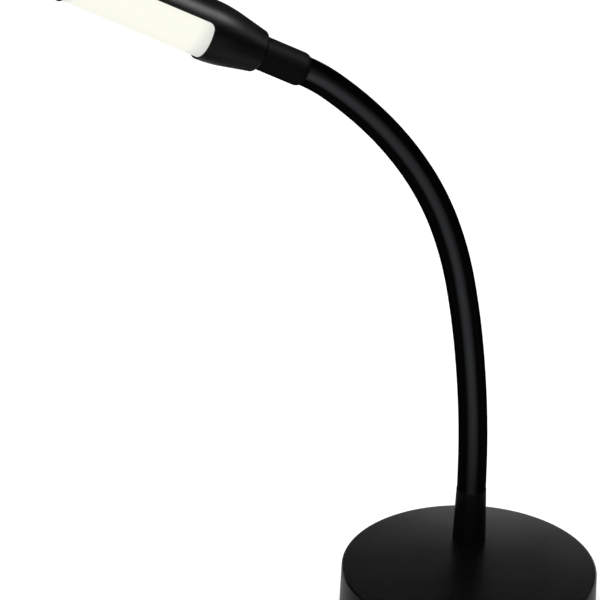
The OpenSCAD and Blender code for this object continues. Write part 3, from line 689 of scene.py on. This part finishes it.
finishes = {
    "base_plastic": moulded("satin_black_base", (0.0020, 0.0020, 0.0021), 0.25, 0.07, cells=3200,
                            depth=0.004, rough_drift=0.02, dusty=0.008),
    "head_plastic": moulded("satin_black_head", (0.0020, 0.0020, 0.0019), 0.35, 0.085, cells=1900,
                            depth=0.014, dusty=0.01),
    "button_plastic": moulded("satin_black_button", (0.0080, 0.0080, 0.0085), 0.34, 0.25,
                              cells=5200, depth=0.003),
    "dark_plastic": moulded("plain_black_plastic", (0.012, 0.012, 0.013), 0.40, 0.35, cells=2600),
    "neck_sleeve": moulded("black_neck_sleeve", (0.0012, 0.0012, 0.0014), 0.43, 0.85, cells=6000,
                           depth=0.003, dusty=0.02, rough_drift=0.04, side_gloss=0.01),
    "lead_jacket": moulded("black_lead_jacket", (0.015, 0.015, 0.016), 0.45, 0.35, cells=5000,
                           depth=0.008),
    "pad_rubber": moulded("foam_rubber_pad", (0.016, 0.016, 0.017), 0.85, 0.20, cells=1500,
                          depth=0.12, drift_amount=0.35),
}
print("black finishes:", len(finishes))

# %% [markdown]
# ## Metals, boards and resin
# Inside the lamp are parts that show only when it is opened or cut: a zinc-plated plate and screws,
# an iron ballast, brass, aluminium, two circuit boards and the light-emitting diodes. They get
# finishes of the same care, because the model can be taken apart. Metals use the drawn lines for
# their bump and roughness. The boards and the diodes' resin come from the same function as the
# black plastics, in their own colours.

# %% Make the remaining finishes
def metal(name, colour, roughness, lines_per_metre=4000.0, depth=0.004, drift_amount=0.12):
    """Plain or plated metal with fine drawn lines."""
    finish, tree, shader = start_finish(name)
    drawn = use_group(tree, scratches, Lines_per_metre=lines_per_metre)
    slow = use_group(tree, drift, Waves_per_metre=60.0)["Value"]
    light = tuple(min(1, c * (1 + drift_amount)) for c in colour)
    dark = tuple(c * (1 - drift_amount) for c in colour)
    cover(tree, shader, tone_mix(tree, slow, dark, light),
          spread(tree, drawn["Tone"], 0, 1, roughness - 0.07, roughness + 0.10),
          drawn["Height"], depth, strength=0.6, levels={"Metallic": 1})
    return finish


def cast(name, colour, roughness):
    """Rough cast iron with a dull skin, rusty in places."""
    finish, tree, shader = start_finish(name)
    lumps = use_group(tree, grain, Cells_per_metre=900.0)
    slow = use_group(tree, drift, Waves_per_metre=90.0)["Value"]
    rusty = (colour[0] * 1.5, colour[1] * 1.15, colour[2])
    cover(tree, shader, tone_mix(tree, slow, colour, rusty),
          spread(tree, lumps["Tone"], 0, 1, roughness - 0.1, roughness + 0.1),
          lumps["Height"], depth=0.25, levels={"Metallic": 0.6})
    return finish


finishes.update({
    "hose_steel": metal("wound_steel_hose", (0.50, 0.51, 0.53), 0.34, 2500, 0.01),
    "zinc_steel": metal("zinc_plated_steel", (0.62, 0.63, 0.66), 0.32),
    "brass": metal("turned_brass", (0.76, 0.56, 0.27), 0.26),
    "carrier_aluminium": metal("plain_aluminium", (0.76, 0.77, 0.78), 0.36, 3000),
    "ballast_iron": cast("cast_iron_ballast", (0.10, 0.10, 0.105), 0.7),
    "driver_parts": moulded("driver_parts_black", (0.03, 0.03, 0.033), 0.45, 0.4, cells=2500),
    "green_board": moulded("green_solder_mask", (0.012, 0.10, 0.045), 0.30, 0.5, cells=2200,
                           depth=0.02, dusty=0.05),
    "white_board": moulded("white_solder_mask", (0.78, 0.78, 0.76), 0.35, 0.5, cells=2200,
                           drift_amount=0.04, dusty=0.0),
    "led_resin": moulded("phosphor_resin", (0.80, 0.62, 0.12), 0.25, 0.5, cells=4000,
                         drift_amount=0.06, dusty=0.0),
})
print("finishes:", len(finishes))

# %% [markdown]
# ## The lit diffuser
# The diffuser is an opal plastic half-tube with light-emitting diodes behind it. Opal plastic
# spreads their light until the whole window glows one warm white. It falls off only in the last
# millimetres at either end, where no diode lies behind it. The glow is the emission of the same
# shader that gives the plastic its surface. The fall-off is read from the map that the turning
# function gives the piece: its V runs along the tube in metres.

# %% Make the diffuser's finish
GLOW_COLOUR, GLOW_STRENGTH = (0.955, 0.955, 0.850), 0.91
EDGE_COLOUR = (0.68, 0.69, 0.65)
OPAL_DARK, OPAL_LIGHT = (0.10, 0.10, 0.095), (0.12, 0.12, 0.115)
# where the glow rises and falls along the tube: 0 is its hidden tail end, and the window starts
# 3 to 5 mm further on
NEAR_RING, NEAR_CAP = (0.0030, 0.0140), (0.0805, 0.0870)


def lit_opal(name):
    finish, tree, shader = start_finish(name)
    slow = use_group(tree, drift, Waves_per_metre=18.0)["Value"]
    fine = use_group(tree, grain, Cells_per_metre=4200.0)
    travel = node(tree, "SeparateXYZ", {"Vector": node(tree, "UVMap").outputs["UV"]}).outputs["Y"]
    inner = math_node(tree, "MULTIPLY", spread(tree, travel, *NEAR_RING, smooth=True),
                      spread(tree, travel, *NEAR_CAP, 1.0, 0.0, smooth=True))
    inner = math_node(tree, "MULTIPLY", inner, spread(tree, slow, 0, 1, 0.97, 1.0))
    cover(tree, shader, tone_mix(tree, fine["Tone"], OPAL_DARK, OPAL_LIGHT),
          spread(tree, slow, 0, 1, 0.50, 0.60), fine["Height"], depth=0.004, levels={
              "Emission Color": tone_mix(tree, inner, EDGE_COLOUR, GLOW_COLOUR),
              "Emission Strength": GLOW_STRENGTH, "Specular IOR Level": 0.2})
    return finish


finishes["lit_diffuser"] = lit_opal("lit_opal_diffuser")

for subpart in frame["record"]["subparts"]:
    solid = frame["nodes"][subpart["node"]]
    solid.data.materials.clear()
    solid.data.materials.append(finishes[subpart["material_slot"]])

# %% [markdown]
# ## Fitting a piece to the lamp
# Each new piece says four things: its finish, the material slot of the record that the finish
# belongs to, the body that it moves with, and the solids that it stands for. One helper says them
# all. The pieces of the sleeve are given no body.

# %% Fit a piece
def fit(piece, slot, body=None, stands_for=(), finish=None):
    piece.data.materials.clear()
    piece.data.materials.append(finish or finishes[slot])
    if stands_for:
        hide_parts(*stands_for)
    if body:
        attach(piece, body)
    size = np.ptp(np.array([v.co for v in piece.data.vertices]), axis=0) / MM
    print(piece.name, "on", body, "-", len(piece.data.polygons), "faces,", np.round(size, 1), "mm")
    return piece


# %% [markdown]
# ## The base
# The base is a deep plastic cup, turned upside down over an iron weight. Its top is flat, its wall
# leans out by one degree so that it leaves its mould, and the edge between them has a radius of
# 1.2 mm, which catches a thin line of light. The cup is turned from its outline.

# %% Turn the base
BASE_R, BASE_TOP, RIM, WALL, DRAFT = 70.0, 30.0, 1.0, 2.5, math.tan(math.radians(1))


def wall_r(z):
    """Radius of the leaning wall at height z."""
    return BASE_R + (BASE_TOP - z) * DRAFT


base = turned("base_cup", rounded([
    (0, BASE_TOP), (BASE_R, BASE_TOP, 1.2), (wall_r(RIM), RIM, 0.5), (wall_r(RIM) - WALL, RIM, 0.4),
    (BASE_R - WALL, BASE_TOP - WALL, 0.8), (0, BASE_TOP - WALL)], steps=8), steps=256)
print("base, mm:", BASE_R, "at the top,", round(wall_r(RIM), 2), "at the rim")

# %% [markdown]
# ## Holes in the base
# The holes for the button, the neck and the power inlet are cut with shapes whose rims flare, so
# that each hole gets a softly rounded mouth. Rounding the edges afterwards would be harder, because
# two of the holes are in a flat face and one is in a leaning, curved wall.

# %% Cut the holes
BUTTON_Y, BUTTON_R, BUTTON_PLAY = -50.5, 8.0, 0.15
STUD_HOLE_R = 5.05
INLET_Z, INLET_R = 20.5, 4.15
CUT_DEPTH, CUT_ABOVE = 8, 0.6


def hole_cutter(name, radius, mouth, at):
    """A cutter along Z whose rim flares by mouth at height 0."""
    flare = [(radius + mouth + mouth * math.cos(a), -mouth + mouth * math.sin(a))
             for a in np.radians(np.linspace(180, 97, 6))]
    return turned(name, [(0, -CUT_DEPTH), (radius, -CUT_DEPTH), *flare,
                         (radius + mouth, CUT_ABOVE), (0, CUT_ABOVE)], at, steps=96)


def lift(x, y, z):
    """A frame moved by millimetres and not turned."""
    return Matrix.Translation((x * MM, y * MM, z * MM))


cutters = [
    hole_cutter("cut_button", BUTTON_R + BUTTON_PLAY, 0.4, lift(0, BUTTON_Y, BASE_TOP)),
    hole_cutter("cut_stud", STUD_HOLE_R, 0.2, lift(0, POST_BACK, BASE_TOP)),
    hole_cutter("cut_inlet", INLET_R, 0.4,
                lift(0, wall_r(INLET_Z), INLET_Z) @ Matrix.Rotation(-math.pi / 2, 4, "X")),
]
for cutter in cutters:
    cut = base.modifiers.new(cutter.name, "BOOLEAN")
    cut.object, cut.operation, cut.solver = cutter, "DIFFERENCE", "EXACT"
settle(base)
for cutter in cutters:
    bpy.data.objects.remove(cutter)
base.data.set_sharp_from_angle(angle=math.radians(35))
weight_normals(base)
fit(base, "base_plastic", "base", ["base_shell"])

# %% [markdown]
# ## The pad and the button
# Under the base lies a disc of foam rubber that keeps the lamp from sliding. It stands one
# millimetre out of the rim, and its cut edge is a little rounded. At the front of the top sits the
# power button: a shallow dome with a soft edge. It moves on its own body, because it is pressed
# in against a spring.

# %% Turn the pad and the button
PAD_R, PAD_TOP = 63.83, 2
pad = turned("foam_pad", rounded([(0, 0), (PAD_R, 0, 0.6), (PAD_R, PAD_TOP, 0.2), (0, PAD_TOP)]),
             steps=192)
fit(weight_normals(pad), "pad_rubber", "base", ["base_pad"])

# the dome's radius, top and rim, then the flange and the hollow below it
DOME, DOME_TOP, DOME_RIM = 64.0, BASE_TOP + 1.2, 7.3
FLANGE_R, FLANGE_TOP, FLANGE_FOOT = 9.5, 27.3, 26.3
HOLLOW_R, HOLLOW_TOP = 5.5, 28.75
dome_edge = DOME_TOP - (DOME - math.sqrt(DOME ** 2 - BUTTON_R ** 2))
dome = arc(0, DOME_TOP - DOME, DOME, 90, 90 - math.degrees(math.asin(DOME_RIM / DOME)), 10)
button = turned("power_button_cap", dome + rounded([
    (DOME_RIM, dome_edge + 0.08), (BUTTON_R, dome_edge, 0.55), (BUTTON_R, FLANGE_TOP),
    (FLANGE_R, FLANGE_TOP, 0.15), (FLANGE_R, FLANGE_FOOT, 0.15), (HOLLOW_R, FLANGE_FOOT),
    (HOLLOW_R, HOLLOW_TOP), (0, HOLLOW_TOP)])[1:], lift(0, BUTTON_Y, 0), steps=96)
fit(weight_normals(button), "button_plastic", "button", ["power_button"])

# %% [markdown]
# ## The neck post
# The neck starts in a slightly conical post. It is wider at its foot, where its stud passes
# through the base and is held by a nut, and it ends level with the sleeve at its top.
# Its socket for the hose is open, as on the real one.

# %% Turn the post
POST_FOOT_R, POST_TOP_R = 9.2, 8.2
STUD_R, STUD_FOOT, LEAD_HOLE_R = 5.0, 22, 2.3
HOSE_HOLE_R, HOSE_FOOT = 7.25, 53
post = turned("neck_post_skin", rounded([
    (POST_FOOT_R, BASE_TOP), (POST_TOP_R, POST_TOP, 0.25), (HOSE_HOLE_R, POST_TOP, 0.1),
    (HOSE_HOLE_R, HOSE_FOOT), (LEAD_HOLE_R, HOSE_FOOT), (LEAD_HOLE_R, STUD_FOOT),
    (STUD_R, STUD_FOOT), (STUD_R, BASE_TOP)], closed=True),
    lift(0, POST_BACK, 0), closed=True)
fit(weight_normals(post), "head_plastic", "base", ["neck_post"])

# %% [markdown]
# ## The sleeve on the neck
# A real gooseneck is a hose of wound steel in one long soft sleeve, and the sleeve bends without
# a break. The solids have nine short sleeves with gaps instead, so that the rigid lengths of the
# hose can turn. Here the sleeve is modelled as eight pieces that meet in the middle of the
# lengths, where nothing bends. Each piece crosses one joint, and it is left in the rest arch with
# no body of its own. It is swept along the neck with a thin wall.

# %% Sweep the sleeve
SLEEVE_OUT, SLEEVE_IN = 8.0, 7.8
# how far the sleeve reaches into the collar, and the half-length of a bend zone round a joint
IN_COLLAR, BEND_ZONE = 4.8, 13.0


def swept_tube(name, start, end, step=0.75, around=64):
    """A stretch of the sleeve, from start to end along the neck, in millimetres."""
    stations = np.linspace(start, end, int(round((end - start) / step)) + 1)
    ring = [(math.cos(a), math.sin(a)) for a in np.linspace(0, 2 * math.pi, around, endpoint=False)]
    verts, faces, n = [], [], len(stations)
    for radius in (SLEEVE_OUT, SLEEVE_IN):
        for s in stations:
            at = neck_frame(s)
            verts += [at @ Vector((radius * MM * x, radius * MM * y, 0)) for x, y in ring]
    for k in range(n - 1):
        for j in range(around):
            a, b = k * around + j, k * around + (j + 1) % around
            faces.append((a, b, b + around, a + around))
            a, b = a + n * around, b + n * around
            faces.append((b, a, a + around, b + around))
    for k, flip in ((0, True), (n - 1, False)):
        for j in range(around):
            a, b = k * around + j, k * around + (j + 1) % around
            face = (a, b, b + n * around, a + n * around)
            faces.append(face[::-1] if flip else face)
    mesh = bpy.data.meshes.new(name)
    mesh.from_pydata(verts, [], faces)
    return make_object(name, mesh)


sleeve = []
for k in range(8):
    last_piece = k == 7
    piece = swept_tube("neck_sleeve_skin_%d" % (k + 1), k * PITCH,
                       (k + 1) * PITCH + (IN_COLLAR if last_piece else 0))
    covered = ["neck_sleeve_%d" % (k + 1)] + (["neck_sleeve_9"] if last_piece else [])
    fit(piece, "neck_sleeve", None, covered)
    joint_at = neck_frame((k + 0.5) * PITCH)
    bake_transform(piece)
    sleeve.append(piece)

# %% [markdown]
# ## The collar
# The neck ends in a collar, which grips the hose. Its near end is drawn in over the sleeve
# with a rounded shoulder, and its far end is flat with a fine bevel, because the head turns against
# it. It is one turned piece, stepped inside for the sleeve, the hose and the hollow spindle.

# %% Turn the collar
COLLAR_R, COLLAR_END, SPINDLE_HOLE_R = 9.3, 27.4, 6.05
SLEEVE_HOLE_R, SLEEVE_STOP, HOSE_STOP = 8.05, 5, 12.2
# the shoulder is an arc: its centre as radius and height, its own radius, and its ends in degrees
SHOULDER = (4.3, 3, 5, -36.87, 0)
collar = turned("head_collar_skin", rounded([
    (SLEEVE_HOLE_R, SLEEVE_STOP), (SLEEVE_HOLE_R, 0, 0.12), *arc(*SHOULDER, 10),
    (COLLAR_R, COLLAR_END, 0.4), (SPINDLE_HOLE_R, COLLAR_END, 0.1), (SPINDLE_HOLE_R, HOSE_STOP),
    (HOSE_HOLE_R, HOSE_STOP), (HOSE_HOLE_R, SLEEVE_STOP)], closed=True), collar_at, closed=True)
# the collar takes the wear of the swivel, so its skin is duller than the head's
dull_black = moulded("dull_black_collar", (0.0022, 0.0022, 0.0021), 0.50, 0.028, cells=3600,
                     depth=0.008, dusty=0.04)
fit(weight_normals(collar), "head_plastic", "neck_top", ["head_collar"], dull_black)

# %% [markdown]
# ## The housing of the head
# The housing is one moulded shell: a tapered tail that swells into a tube, a long window in the
# tube's side, and a ring at the far end. The window leaves only a spine of the tube. Its corners
# are round, and its tail end slants. Two functions say where the surface is: one gives the radius
# of the tail, and the other gives the place where the window starts.

# %% Give the shape of the tail and the window
HEAD_R, TAIL_Z, WINDOW_Z, WINDOW_END, HOUSING_END = 16.6, 27.7, 62.3, 144.5, 148.5
WINDOW_EDGE, CORNER_R, SLANT = 2.3, 4.0, math.radians(7.5)
TAIL_END_R, LIP_R, OGIVE_R, OGIVE_TURN, OGIVE_Z = 11.8, 2.0, 80.0, math.radians(10.5), 61.3
TAIL_HOLE_R, TAIL_FLAT_R, SEAM = 6.06, 8.2, 0.05


def swell(z):
    """Radius of the tail where it swells into the tube."""
    return HEAD_R - OGIVE_R + math.sqrt(OGIVE_R ** 2 - max(OGIVE_Z - z, 0) ** 2)


def window_start(x):
    """Where the window starts along the head, at height x above the head's axis."""
    from_middle = x - (WINDOW_EDGE - CORNER_R)
    if from_middle > CORNER_R * math.sin(SLANT):
        return WINDOW_Z + CORNER_R - math.sqrt(max(CORNER_R ** 2 - from_middle ** 2, 0))
    return (WINDOW_Z + CORNER_R * (1 - math.cos(SLANT))
            + (from_middle - CORNER_R * math.sin(SLANT)) * math.tan(SLANT))


print("window starts at, mm:", [round(window_start(x), 1) for x in (WINDOW_EDGE, 0, -HEAD_R)])

# %% [markdown]
# ## A grid that fits the window
# A cut made by a modifier would leave ragged faces along the window's curved corners, so the shell
# is laid out as a grid instead. Its columns run along the tube and pass exactly through the points
# of the corners, and the rows beside the window bend to end on its edge.

# %% Lay out the columns and rows
def housing_columns():
    """(angle, start and end of the window on this column, crosses the window) round the tube."""
    edge = math.acos(WINDOW_EDGE / HEAD_R)
    columns = [(a, WINDOW_Z + CORNER_R, WINDOW_END - CORNER_R, False)
               for a in np.linspace(-edge, edge, 49)]
    corner = []
    for phi in np.radians(np.linspace(0, 90, 13))[1:]:
        x = WINDOW_EDGE - CORNER_R + CORNER_R * math.cos(phi)
        corner.append((math.acos(x / HEAD_R), window_start(x),
                       WINDOW_END - CORNER_R * (1 - math.sin(phi)), True))
    belly = np.linspace(corner[-1][0], 2 * math.pi - corner[-1][0], 57)[1:-1]
    columns += corner
    columns += [(a, window_start(HEAD_R * math.cos(a)), WINDOW_END, True) for a in belly]
    return columns + [(2 * math.pi - a, start, end, True) for a, start, end, _ in reversed(corner)]


def housing_rows():
    """Each row is a function of the window's start and end that gives radius and height."""
    ogive_from = OGIVE_Z - OGIVE_R * math.sin(OGIVE_TURN)
    cone = [(TAIL_END_R, TAIL_Z + LIP_R), (swell(ogive_from), ogive_from)]
    tail = ([(TAIL_HOLE_R, TAIL_Z), (TAIL_FLAT_R, TAIL_Z)]
            + arc(TAIL_END_R - LIP_R, TAIL_Z + LIP_R, LIP_R, -90, 0, 8)
            + [tuple(a + t * (b - a) for a, b in zip(*cone)) for t in (0.2, 0.4, 0.6, 0.8, 1)])
    rows = [("whole", lambda start, end, p=p: p) for p in tail]
    for t in np.linspace(0, 1, 17)[1:]:
        rows.append(("whole", lambda start, end, t=t: (
            swell(ogive_from + t * (start - ogive_from)), ogive_from + t * (start - ogive_from))))
    for z in np.linspace(WINDOW_Z + CORNER_R, WINDOW_END - CORNER_R, 22)[1:-1]:
        rows.append(("spine", lambda start, end, z=z: (HEAD_R, z)))
    for t in (0, 0.25, 0.5, 0.75, 1):
        rows.append(("whole", lambda start, end, t=t: (HEAD_R, end + t * (WINDOW_END + 1 - end))))
    for z in (146.5, 147.5, HOUSING_END - SEAM):
        rows.append(("whole", lambda start, end, z=z: (HEAD_R, z)))
    return rows


columns, rows = housing_columns(), housing_rows()
print("grid of", len(columns), "columns and", len(rows), "rows")

# %% [markdown]
# ## The skin of the housing
# The skin is one sheet at first, with every face of the grid but those in the window. It is then
# thickened inwards, as the wall of a moulding is, and its edges are bevelled.

# %% Build the housing
HOUSING_WALL, HOUSING_BEVEL = 1.05, 0.28
verts, index = [], {}
for j, (angle, start, end, in_window) in enumerate(columns):
    for i, (kind, spot) in enumerate(rows):
        if kind == "spine" and in_window:
            continue
        r, z = spot(start, end)
        index[i, j] = len(verts)
        verts.append(head_at @ Vector((r * math.cos(angle) * MM, r * math.sin(angle) * MM, z * MM)))
faces = []
for j in range(len(columns)):
    k = (j + 1) % len(columns)
    for i in range(len(rows) - 1):
        ring = [(i, j), (i, k), (i + 1, k), (i + 1, j)]
        if all(c in index for c in ring):
            faces.append([index[c] for c in ring])
skin = bpy.data.meshes.new("head_housing_skin")
skin.from_pydata(verts, [], faces)
housing = make_object("head_housing_skin", skin)
shell = housing.modifiers.new("wall", "SOLIDIFY")
shell.thickness, shell.offset, shell.use_even_offset = HOUSING_WALL * MM, -1, True
edge = housing.modifiers.new("edges", "BEVEL")
edge.width, edge.segments = HOUSING_BEVEL * MM, 3
edge.limit_method, edge.angle_limit = "ANGLE", math.radians(50)
settle(housing)
housing.data.set_sharp_from_angle(angle=math.radians(40))
fit(weight_normals(housing), "head_plastic", "head", ["head_housing"])

# %% [markdown]
# ## The end cap and the diffuser
# A domed cap closes the far end of the tube. Its spigot holds the diffuser, an opal half-tube that
# is pushed in from that end and lies in the window. The cap is turned like the collar.
# The diffuser is turned through only part of the circle, and its ends stay hidden in the rings.

# %% Turn the cap and the diffuser
CAP_END, CAP_WALL, CAP_HOLLOW_R, CAP_HOLLOW_Z = HOUSING_END + 9, 2, 9.15, 150
SPIGOT_R, SPIGOT_HOLE_R, SPIGOT_Z = 13.65, 12.15, 142.5
cap = turned("end_cap_skin", rounded([
    (0, CAP_END - CAP_WALL), (CAP_HOLLOW_R, CAP_END - CAP_WALL, 2.5), (SPIGOT_HOLE_R, CAP_HOLLOW_Z),
    (SPIGOT_HOLE_R, SPIGOT_Z), (SPIGOT_R, SPIGOT_Z, 0.3), (SPIGOT_R, HOUSING_END + SEAM),
    (HEAD_R, HOUSING_END + SEAM, 0.28), (HEAD_R, CAP_END, 6), (0, CAP_END)], steps=14), head_at)
fit(weight_normals(cap), "head_plastic", "head", ["end_cap"])

OPAL_R, OPAL_HOLE_R, OPAL_START, OPAL_END, OPAL_EDGE = 15.4, 13.8, 57.5, 147, 3.8
opening = math.degrees(math.acos(OPAL_EDGE / OPAL_R))
diffuser = turned("diffuser_skin", [(OPAL_R, z) for z in np.linspace(OPAL_START, OPAL_END, 48)]
                  + [(OPAL_HOLE_R, OPAL_END), (OPAL_HOLE_R, OPAL_START)], head_at, steps=96,
                  closed=True, sector=(opening, 360 - opening))
fit(diffuser, "lit_diffuser", "head", ["diffuser"])

# %% [markdown]
# ## Which piece each card shines on
# The graded card is meant for the top of the base and the head's lower edge, the strip for the neck
# alone, and the bright ones for the back of the head and its tail. On the neck these would draw
# thin lines that break its dark sides, so each card is linked to its own pieces. The dim card
# behind is linked to the head and the collar, and so it is plain black to the neck: an object that
# a card isn't linked to sees it as black.

# %% Aim the cards
for card, pieces in ((base_card, [base, housing]), (neck_card, sleeve), (tail_card, [housing]),
                     (head_card, [collar, housing, cap]), (rear_card, [collar, housing, cap])):
    lit = bpy.data.collections.new(card.name + "_shines_on")
    for piece in pieces:
        lit.objects.link(piece)
    card.light_linking.receiver_collection = lit
    print(card.name, "shines on", [piece.name for piece in pieces])
